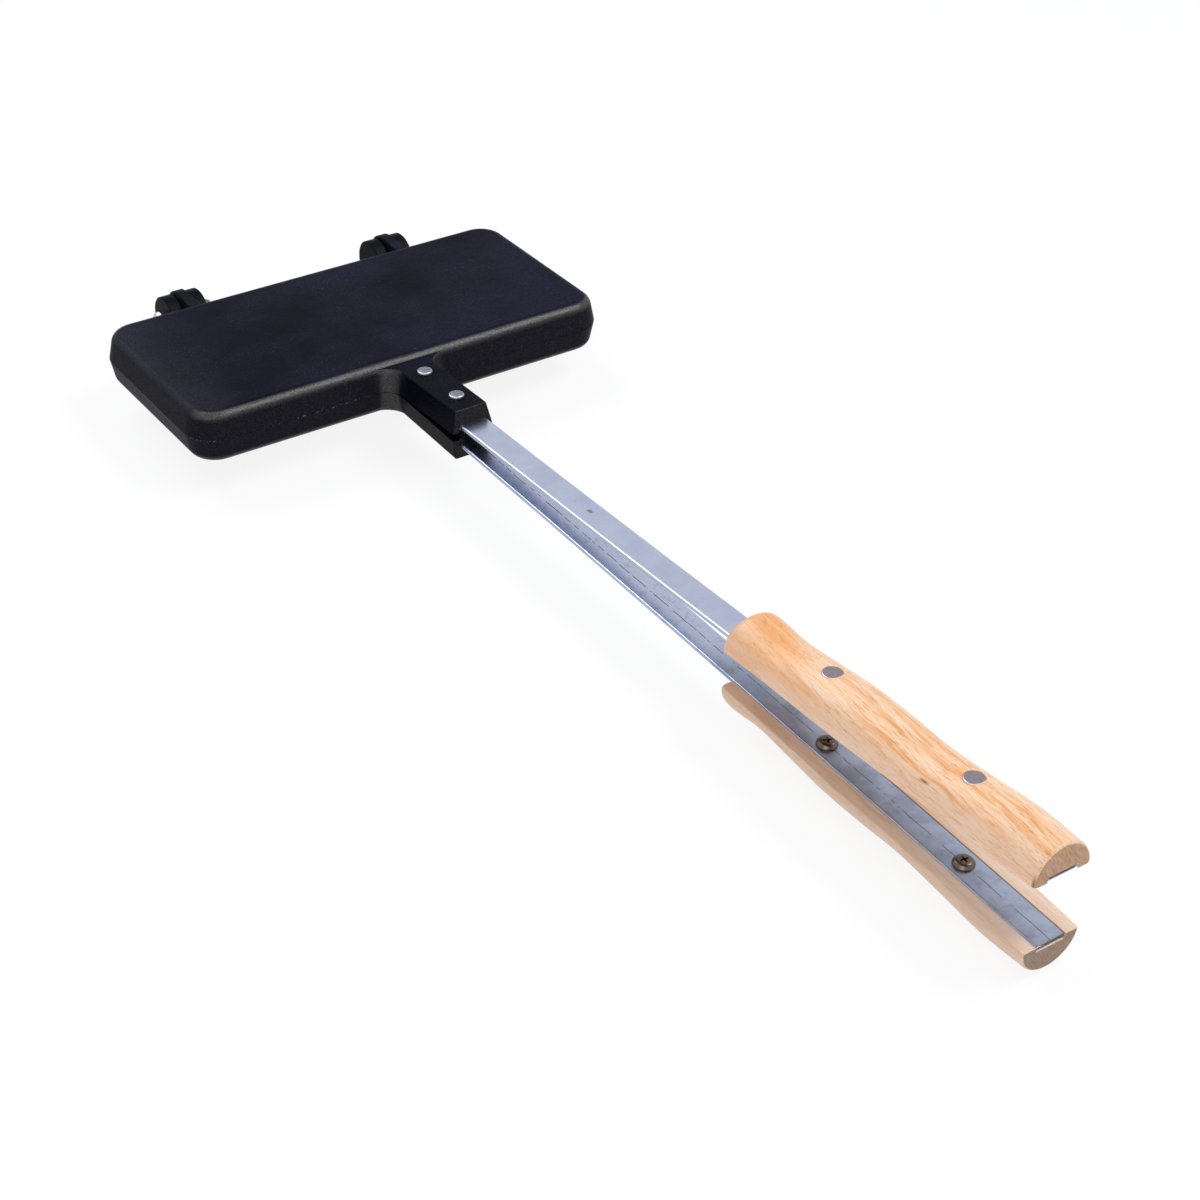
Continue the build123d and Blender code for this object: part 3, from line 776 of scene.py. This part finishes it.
def cast_iron():
    """Black coated casting: sandy grain, pale flecks, rubbed outer edges carrying a painted highlight, and
    a rubbed parting line.
    """
    material, tree, bsdf = new_material("cast_iron_black")
    here = place(tree)
    x, y, z = separate(tree, here)
    _, backward, lean = facing(tree)
    forward = maths(tree, "MULTIPLY", backward, -1.0)
    lean = absolute(tree, lean)
    sideways = absolute(tree, x)
    grain = noise(tree, here, 1700, 3, 0.7)
    sand = noise(tree, here, 800, 3, 0.65)
    pits = noise(tree, here, 1250, 2, 0.6)
    swell = noise(tree, here, 50, 2, 0.5)
    cloud = noise(tree, here, 15, 4, 0.6)
    patch = fade(tree, noise(tree, here, 28, 4, 0.65), 0.42, 0.58)
    ears = fade(tree, y, *BACK_RIM)
    neck = fade(tree, y, ahead(16), ahead(2), 1.0, 0.0)
    head = maths(tree, "SUBTRACT", 1.0, neck)
    wall = times(tree, fade(tree, lean, 0.35, 0.75, 1.0, 0.0), head)
    neck_end = times(tree, neck, fade(tree, forward, 0.45, 0.80))

    # Painted highlight: the rounded edges turn paler and metallic, most of all where they face forward
    edge = times(tree, fade(tree, lean, 0.14, 0.72), fade(tree, lean, 0.86, 0.985, 1.0, 0.0))
    edge = times(tree, edge, fade(tree, forward, 0.02, 0.45, 0.16, 1.0), fade(tree, head, 0, 1, 0.35, 1.0))
    # painted highlight on the fillets at the neck's root
    root = times(
        tree,
        fade(tree, forward, 0.15, 0.45),
        fade(tree, forward, 0.88, 0.99, 1.0, 0.0),
        fade(tree, sideways, 0.030, 0.042, 1.0, 0.0),
        fade(tree, x, -0.004, 0.004, 1.0, 0.3),
        fade(tree, y, ahead(17), ahead(9), 0.0, 0.75),
    )
    edge = maths(tree, "MAXIMUM", edge, root)
    edge = times(tree, edge, fade(tree, pits, 0.32, 0.60, 0.50, 1.0), fade(tree, ears, 0, 1, 1.0, 0.15))

    flecks = times(tree, dashes(tree, place(tree, (760, 600, 760), (0, 0, 0.6)), 0.18, 0.55), patch)
    dust = dashes(tree, place(tree, (170, 300, 300), (0.3, 0.2, 0.5)), 0.08, 0.25)
    rubbed = times(
        tree,
        near(tree, z, PARTING_Z * SCALE, 0.00012, 0.0004),
        fade(tree, lean, 0.60, 0.90, 1.0, 0.15),
        fade(tree, noise(tree, here, 900, 2, 0.7), 0.54, 0.62),
        fade(tree, noise(tree, here, 60, 2, 0.6), 0.42, 0.58),
        fade(tree, x, -0.010, 0.015, 1.0, 0.15),
    )
    rust = times(
        tree,
        near(tree, y, ahead(NECK_LENGTH), 0.0005, 0.0006),
        near(tree, z, (RIM_Z + RUST_HEIGHT) * SCALE, 0.0005, 0.0006),
        fade(tree, noise(tree, here, 1500, 2, 0.6), 0.50, 0.58),
    )
    base = ramp(tree, cloud, (0.38, IRON_TONES["dark"]), (0.62, IRON_TONES["pale"]))
    # painted light: the pan's left end is made paler
    base = blend(tree, 1.0, base, fade(tree, x, *LEFT_END, 0.008, 0.0), "ADD")
    colour = blend(tree, wall, base, IRON_TONES["wall"])
    colour = blend(tree, times(tree, ears, 0.8), colour, IRON_TONES["ear"])
    colour = blend(tree, times(tree, neck, 0.85), colour, IRON_TONES["neck"])
    colour = blend(tree, times(tree, neck_end, 0.8), colour, IRON_TONES["neck_end"])
    rough_cast = maths(tree, "MAXIMUM", wall, neck_end)
    deep = fade(tree, rough_cast, 0, 1, 0.75, 0.55)
    colour = blend(tree, 1.0, colour, fade(tree, pits, 0.32, 0.66, deep, 1.45), "MULTIPLY")
    colour = blend(tree, times(tree, flecks, 0.65), colour, IRON_TONES["fleck"])
    colour = blend(tree, times(tree, dust, 0.7), colour, IRON_TONES["dust"])
    # painted highlight along the rounded edges, over their rubbed metal
    colour = blend(tree, edge, colour, IRON_TONES["edge"])
    colour = blend(tree, times(tree, rubbed, 0.8), colour, IRON_TONES["rubbed"])
    colour = blend(tree, times(tree, rust, 0.7), colour, IRON_TONES["rust"])
    rough = blend(tree, edge, ramp(tree, cloud, (0.25, 0.30), (0.75, 0.38)), grey(0.42))
    normal = bump(tree, swell, 0.25, 0.0010)
    normal = bump(tree, sand, 0.30, 0.00045, normal)
    normal = bump(tree, grain, 0.35, 0.00022, normal)
    connect(tree, bsdf, Base_Color=colour, Roughness=rough, Metallic=edge, Normal=normal)
    connect(tree, bsdf, Specular_IOR_Level=0.012)
    return material


ZINC_TONES = {
    "deep": (0.385, 0.430, 0.570),      # clouds of the plating
    "bright": (0.440, 0.480, 0.625),
    "dim": (0.33, 0.38, 0.55),
    "shade_between_grips": (0.215, 0.245, 0.320),      # painted shade on the lower bar, between the grips
    "dark_blotch": (0.16, 0.19, 0.26),
    "speck": (0.12, 0.13, 0.16),
    "tip": (0.20, 0.24, 0.24),
    "sawn": (0.15, 0.175, 0.175),
    "mark": (0.13, 0.15, 0.16),
}
ZINC_SHIFTS = {"upper": 0.7, "lower": 0.0}  # set the clouds of the two bars apart
SHADE_ZONE_BETWEEN_GRIPS = (-0.350, -0.325)            # Y over which the lower bar takes its painted shade and a duller finish
TIP_ZONE = (-0.5530, -0.5505)
MARK_PLACE = (0.0004, -0.2286)          # X and Y on the upper bar
UPPER_FACE = (0.0205, 0.0215)           # Z over which the mark sets in
ROLLED_EDGE = (0.0064, 0.0070)          # distance from the bar's middle


def zinc_bar(half):
    """Zinc-plated tube rolled flat: bluish clouds, draw lines, specks, a sawn end, stains and, on the
    lower bar, painted shade between the grips.
    """
    material, tree, bsdf = new_material(f"zinc_bar_{half}")
    shift = (0, 0, ZINC_SHIFTS[half])
    here = place(tree, (1, 1, 1), (0, 0, 0), shift)
    x, y, z = separate(tree, place(tree))
    cloud = noise(tree, here, 70, 5, 0.6)
    broad = noise(tree, place(tree, (1, 0.35, 1), (0, 0, 0.5), shift), 55, 3, 0.5)
    lines = noise(tree, place(tree, (1.0, 0.02, 1.0)), 2600, 3, 0.6)
    base = ramp(tree, cloud, (0.32, ZINC_TONES["deep"]), (0.68, ZINC_TONES["bright"]))
    dim = times(tree, fade(tree, broad, 0.56, 0.70), 0.38)
    colour = blend(tree, dim, base, ZINC_TONES["dim"])
    if half == "lower":
        # painted shade where the lower bar runs between the grips
        shade_between_grips = times(tree, fade(tree, y, *SHADE_ZONE_BETWEEN_GRIPS, 1.0, 0.0), fade(tree, cloud, 0.38, 0.62, 0.45, 0.85))
        colour = blend(tree, shade_between_grips, colour, ZINC_TONES["shade_between_grips"])
        # darker blotches, on the lower bar only
        dark_blotch = times(tree, fade(tree, noise(tree, here, 210, 4, 0.7), 0.52, 0.68), 0.40)
        colour = blend(tree, dark_blotch, colour, ZINC_TONES["dark_blotch"])
    specks = dashes(tree, place(tree, (330, 210, 330), (0, 0, 0), shift), 0.13, 0.10)
    tip = times(
        tree,
        fade(tree, y, *TIP_ZONE, 1.0, 0.0),
        fade(tree, noise(tree, here, 800, 4, 0.7), 0.42, 0.58),
    )
    colour = blend(tree, times(tree, specks, 0.5), colour, ZINC_TONES["speck"])
    colour = blend(tree, times(tree, tip, 0.65), colour, ZINC_TONES["tip"])
    backward = facing(tree)[1]
    sawn = times(tree, fade(tree, backward, -0.95, -0.70, 1.0, 0.0), fade(tree, cloud, 0.3, 0.7, 0.6, 1.0))
    colour = blend(tree, sawn, colour, ZINC_TONES["sawn"])
    if half == "upper":
        mark = times(
            tree,
            near(tree, x, MARK_PLACE[0], 0.0007, 0.0009),
            near(tree, y, MARK_PLACE[1], 0.0011, 0.0010),
            fade(tree, noise(tree, here, 700, 3, 0.6), 0.40, 0.50),
            fade(tree, z, *UPPER_FACE),
        )
        colour = blend(tree, times(tree, mark, 0.9), colour, ZINC_TONES["mark"])
    rolled = fade(tree, absolute(tree, x), *ROLLED_EDGE)
    rough = blend(tree, rolled, ramp(tree, broad, (0.3, 0.20), (0.7, 0.30)), grey(0.36))
    rough = blend(tree, sawn, rough, grey(0.60))
    if half == "lower":
        rough = blend(tree, shade_between_grips, rough, grey(0.42))
    normal = bump(tree, lines, 0.10, 0.00004)
    normal = bump(tree, cloud, 0.05, 0.0004, normal)
    connect(tree, bsdf, Base_Color=colour, Roughness=rough, Metallic=1.0, Normal=normal)
    return material


WOODS = {
    "upper": {
        "tilt": 0.085,                  # radians between grain and handle
        "cream": (0.83, 0.625, 0.45),
        "tan": (0.82, 0.53, 0.315),
        "orange": (0.77, 0.37, 0.14),
        "pore": (0.49, 0.18, 0.050),
        # side: painted shade on the flank facing -X
        "side": (0.82, 0.575, 0.42),
        "vein": (0.71, 0.280, 0.068),
        # flat: paler tone of the inner flat towards the free end, painted light
        "flat": (0.80, 0.58, 0.40),
        "veins": 0.85,                  # how strongly veins and streaks show
        "streaks": 0.60,
        "end": 1.10,                    # brightness of the end grain
        "shift": (0, 0, 0.5),           # sets the grain of the two grips apart
        # X and Y of each small knot, then how far it reaches along X and Y, in metres
        "knots": [(-0.0122, -0.4858, 0.0007, 0.0042), (-0.0150, -0.5532, 0.0014, 0.0016)],
    },
    "lower": {
        "tilt": -0.02,
        # darker than the upper grip's tones: partly the wood's own, partly painted shade under the upper
        # grip
        "cream": (0.78, 0.57, 0.41),
        "tan": (0.71, 0.48, 0.32),
        "orange": (0.62, 0.37, 0.215),
        "pore": (0.36, 0.18, 0.10),
        # side: painted shade on the flank facing -X
        "side": (0.72, 0.50, 0.35),
        "vein": (0.50, 0.27, 0.14),
        # flat: paler tone of the inner flat towards the free end, painted light
        "flat": (0.86, 0.655, 0.515),
        "veins": 0.35,
        "streaks": 0.45,
        "end": 0.52,
        "shift": (0.3, 0, 0),
        "knots": [(0.0135, -0.3790, 0.0006, 0.0020)],
    },
}
END_GRAIN = ((0.26, 0.130, 0.060), (0.47, 0.275, 0.155))
KNOT = (0.22, 0.075, 0.04)


def lacquered_wood(half):
    """Pale hardwood under satin lacquer: warm streaks, short pores along the grain, brown ends."""
    tone = WOODS[half]
    material, tree, bsdf = new_material(f"lacquered_wood_{half}")
    turn = (0, 0, tone["tilt"])
    shift = tone["shift"]
    here = place(tree)
    x, y, _ = separate(tree, here)
    sideways, backward, up = facing(tree)
    drift = noise(tree, place(tree, (0.5, 1, 0.5), turn, shift), 22, 2, 0.5)
    along = place(tree, (1, 0.055, 1), turn, shift)
    offset = node(tree, "CombineXYZ", {"X": maths(tree, "MULTIPLY", drift, 0.006)}).outputs[0]
    along = node(tree, "VectorMath", {0: along, 1: offset}, operation="ADD").outputs[0]
    broad = noise(tree, along, 130, 3, 0.55, 0.4)
    medium = noise(tree, along, 420, 3, 0.6, 0.3)
    fine = noise(tree, along, 2100, 3, 0.6)
    base = ramp(tree, broad, (0.30, tone["cream"]), (0.56, tone["tan"]))
    streak = times(tree, fade(tree, medium, 0.50, 0.62), tone["streaks"])
    colour = blend(tree, streak, base, tone["orange"])
    pale = times(tree, fade(tree, medium, 0.30, 0.44, 1.0, 0.0), 0.5)
    colour = blend(tree, pale, colour, tone["cream"])
    nose_front = fade(tree, y, ahead(GRIP_REACH + 64), ahead(GRIP_REACH + 24))
    nose = times(tree, nose_front, fade(tree, broad, 0.3, 0.6, 0.5, 1.0))
    colour = blend(tree, nose, colour, tone["orange"])
    thread = noise(tree, place(tree, (1, 0.022, 1), turn, shift), 1500, 2, 0.5)
    thread = times(tree, fade(tree, thread, 0.58, 0.68), fade(tree, broad, 0.35, 0.6, 0.25, 0.6))
    colour = blend(tree, thread, colour, tone["orange"])
    vein = noise(tree, along, 250, 4, 0.65, 0.9)
    vein = times(tree, fade(tree, vein, 0.535, 0.62), fade(tree, broad, 0.40, 0.55, 0.35, 1.0))
    colour = blend(tree, times(tree, vein, tone["veins"]), colour, tone["vein"])
    # painted shade: the flank facing -X is mixed towards the darker side tone
    shaded_flank = fade(tree, sideways, -0.95, -0.55, 1.0, 0.0)
    shaded_flank = times(tree, shaded_flank, fade(tree, medium, 0.3, 0.6, 0.75, 0.45))
    colour = blend(tree, shaded_flank, colour, tone["side"])
    inner = maths(tree, "MULTIPLY", up, -1.0 if half == "upper" else 1.0)
    inner = fade(tree, inner, 0.90, 0.98)
    back = fade(tree, inner, 0, 1, 1.0, 0.25)
    # painted light: the inner flat turns paler towards the free end, away from the shade near the nose
    inner = times(
        tree,
        inner,
        fade(tree, medium, 0.35, 0.65, 0.85, 0.55),
        fade(tree, y, ahead(GRIP_REACH + 170), ahead(GRIP_REACH + 80), 1.0, 0.15),
    )
    colour = blend(tree, inner, colour, tone["flat"])
    cell = place(tree, (1600, 88, 1600), turn, shift)
    pores = dashes(tree, cell, 0.33, 0.70)
    more = dashes(tree, place(tree, (1250, 58, 1250), turn, (0.1, 0.2, 0.3)), 0.26, 0.70)
    pores = maths(tree, "MAXIMUM", pores, more)
    patch = fade(tree, noise(tree, here, 55, 4, 0.7), 0.36, 0.62, 0.30, 1.0)
    pores = times(tree, pores, patch, back)
    dark = fade(tree, sideways, -0.9, -0.3, 0.52, 0.76)
    colour = blend(tree, times(tree, pores, dark), colour, tone["pore"])
    for knot_x, knot_y, half_width, half_length in tone["knots"]:
        knot = times(tree, near(tree, x, knot_x, 0.0, half_width), near(tree, y, knot_y, 0.0, half_length))
        colour = blend(tree, knot, colour, KNOT)
    fibre = fade(tree, fine, 0.25, 0.75, 0.95, 1.04)
    colour = blend(tree, 1.0, colour, fibre, "MULTIPLY")
    end = fade(tree, absolute(tree, backward), 0.80, 0.93)
    strokes = noise(tree, place(tree, (2000, 100, 230), (0, 0.6, 0)), 1.0, 3, 0.6)
    brown, tawny = [tuple(tone["end"] * value for value in stroke) for stroke in END_GRAIN]
    grain_end = ramp(tree, strokes, (0.35, brown), (0.65, tawny))
    tail = fade(tree, y, ahead(GRIP_REACH + 150), ahead(GRIP_REACH + 100), 1.0, 0.0)
    colour = blend(tree, times(tree, end, tail, 0.85), colour, grain_end)
    rough = fade(tree, medium, 0.2, 0.8, 0.36, 0.46)
    normal = bump(tree, pores, 0.25, -0.00008)
    normal = bump(tree, fine, 0.08, 0.00005, normal)
    connect(tree, bsdf, Base_Color=colour, Roughness=rough, Normal=normal)
    connect(tree, bsdf, Coat_Weight=0.25, Coat_Roughness=0.25, Specular_IOR_Level=0.35)
    return material


STEELS = {                              # colour, roughness, strength of the painted highlight on the rim
    "seam_shadow": ((0.10, 0.11, 0.14), 0.50, 0.0),
    "rivet_steel": ((0.185, 0.20, 0.25), 0.30, 0.5),
    "sleeve_steel": ((0.265, 0.225, 0.26), 0.30, 0.65),
    "screw_steel": ((0.145, 0.110, 0.090), 0.24, 0.0),
    "bolt_steel": ((0.56, 0.57, 0.60), 0.24, 0.0),
    "nut_steel": ((0.135, 0.135, 0.145), 0.42, 0.0),
}
RIM_HIGHLIGHT_STEEL = (0.72, 0.71, 0.73)


def steel(name):
    """Small headed or turned steel part: slight stains, and on some a painted highlight on the rim."""
    base, rough, rim = STEELS[name]
    material, tree, bsdf = new_material(name)
    cloud = noise(tree, place(tree), 520, 4, 0.6)
    scratch = noise(tree, place(tree, (1.0, 0.12, 1.0), (0, 0, 0.6)), 2600, 2, 0.5)
    dark = tuple(0.80 * value for value in base)
    colour = ramp(tree, cloud, (0.3, dark), (0.65, base))
    lean = absolute(tree, facing(tree)[2])
    # painted highlight on the rim, where the surface no longer faces up or down
    bright = times(tree, fade(tree, lean, 0.80, 0.96, 1.0, 0.0), rim)
    colour = blend(tree, bright, colour, RIM_HIGHLIGHT_STEEL)
    roughness = ramp(tree, cloud, (0.3, rough + 0.10), (0.7, rough))
    normal = bump(tree, scratch, 0.12, 0.00004)
    normal = bump(tree, cloud, 0.10, 0.00008, normal)
    connect(tree, bsdf, Base_Color=colour, Roughness=roughness, Metallic=1.0, Normal=normal)
    return material


def floor_material():
    """White floor that keeps a faint shadow."""
    material, tree, bsdf = new_material("floor_white")
    connect(tree, bsdf, Base_Color=(0.95, 0.95, 0.95, 1), Roughness=0.9, Specular_IOR_Level=0.0)
    glow = node(tree, "Emission", {"Color": WHITE, "Strength": 1.0})
    share = times(tree, background_rays(tree), 1.0 - FLOOR_SHADE)
    mixed = node(tree, "MixShader", {0: share, 1: bsdf.outputs[0], 2: glow.outputs[0]})
    tree.links.new(mixed.outputs[0], tree.nodes["Material Output"].inputs["Surface"])
    return material


def background_rays(tree):
    """One for the rays that should see the white background."""
    path = node(tree, "LightPath")
    seen = maths(tree, "MAXIMUM", path.outputs["Is Camera Ray"], path.outputs["Is Glossy Ray"])
    return maths(tree, "MAXIMUM", seen, path.outputs["Is Transmission Ray"])


def paint(material, *nodes):
    """Gives CAD nodes a material in place of the one they were packed with."""
    for name in nodes:
        for entry in frame["nodes"][name].material_slots:
            entry.material = material


# --- Stage ----------------------------------------------------------------------------------------
def make_camera():
    """Camera in the photo's place, with its tilt and its lens."""
    back = Vector((
        math.sin(CAMERA_AZIMUTH) * math.cos(CAMERA_ELEVATION),
        -math.cos(CAMERA_AZIMUTH) * math.cos(CAMERA_ELEVATION),
        math.sin(CAMERA_ELEVATION),
    ))
    right = (-back).cross(Vector((0, 0, 1))).normalized()
    up = right.cross(-back)
    tilted_right = right * math.cos(CAMERA_ROLL) + up * math.sin(CAMERA_ROLL)
    tilted_up = up * math.cos(CAMERA_ROLL) - right * math.sin(CAMERA_ROLL)
    data = bpy.data.cameras.new("camera")
    data.sensor_width = SENSOR
    data.lens = LENS
    data.clip_end = 2 * FLOOR_SIZE
    camera = bpy.data.objects.new("camera", data)
    bpy.context.scene.collection.objects.link(camera)
    turned = Matrix((tilted_right, tilted_up, back)).transposed().to_4x4()
    camera.matrix_world = Matrix.Translation(CAMERA_PLACE) @ turned
    bpy.context.scene.camera = camera


def make_lamp(name, direction, distance, width, depth, power):
    """Soft box that looks at the object from a direction."""
    data = bpy.data.lights.new(name, "AREA")
    data.shape = "RECTANGLE"
    data.size = width
    data.size_y = depth
    data.energy = power
    lamp = bpy.data.objects.new(name, data)
    bpy.context.scene.collection.objects.link(lamp)
    outward = Vector(direction).normalized()
    lamp.location = Vector(LAMP_AIM) + outward * distance
    lamp.rotation_mode = "QUATERNION"
    lamp.rotation_quaternion = (-outward).to_track_quat("-Z", "Y")


def make_floor():
    """White floor just under the lower grip."""
    low = cad_low.z - FLOOR_DROP
    half = FLOOR_SIZE / 2
    mesh = bpy.data.meshes.new("floor")
    corners = [(-half, -half, low), (half, -half, low), (half, half, low), (-half, half, low)]
    mesh.from_pydata(corners, [], [(0, 1, 2, 3)])
    mesh.materials.append(floor_material())
    floor = bpy.data.objects.new("floor", mesh)
    bpy.context.scene.collection.objects.link(floor)


def make_world():
    """Bluish ambient light before a background that shows white."""
    world = bpy.data.worlds.new("studio")
    world.use_nodes = True
    tree = world.node_tree
    ambient = tree.nodes["Background"]
    ambient.inputs["Color"].default_value = (*AMBIENT, 1)
    ambient.inputs["Strength"].default_value = AMBIENT_STRENGTH
    white = node(tree, "Background", {"Color": WHITE, "Strength": 1.0})
    values = {0: background_rays(tree), 1: ambient.outputs[0], 2: white.outputs[0]}
    mixed = node(tree, "MixShader", values)
    tree.links.new(mixed.outputs[0], tree.nodes["World Output"].inputs["Surface"])
    bpy.context.scene.world = world
    bpy.context.scene.view_settings.view_transform = "Standard"


# --- Assembly ---------------------------------------------------------------------------------------
def make_handles():
    """Bars, grips and their fasteners on both halves."""
    bar = bar_mesh()
    grip = grip_mesh()
    metals = {name: steel(name) for name in ("seam_shadow", "rivet_steel", "sleeve_steel", "screw_steel")}
    for half in ("upper", "lower"):
        make_half(half, "bar", bar, [zinc_bar(half), metals["seam_shadow"]])
        make_half(half, "grip", grip, [lacquered_wood(half)], WOOD_CREASE)
        for end in ("rear", "front"):
            fasteners = (
                (f"{end}_rivet", rivet_mesh(end), "rivet_steel"),
                (f"grip_{end}_sleeve", sleeve_mesh(end), "sleeve_steel"),
                (f"grip_{end}_screw", screw_mesh(end), "screw_steel"),
            )
            for name, mesh, slot in fasteners:
                make_half(half, name, mesh, [metals[slot]])


def make_hinges():
    """Both hinge bolts and the left one's lock nut."""
    bolt_steel = steel("bolt_steel")
    for side, measures in (("left", LEFT_BOLT), ("right", RIGHT_BOLT)):
        name = f"{side}_hinge_bolt"
        make_piece(f"{name}_detail", bolt_mesh(*measures), "lower", [name], [bolt_steel])
    name = "left_hinge_nut"
    make_piece(f"{name}_detail", nut_mesh(), "lower", [name], [steel("nut_steel")])


paint(cast_iron(), "upper_pan", "lower_pan")
make_handles()
make_hinges()
make_camera()
make_floor()
make_world()
for lamp_values in LAMPS:
    make_lamp(*lamp_values)
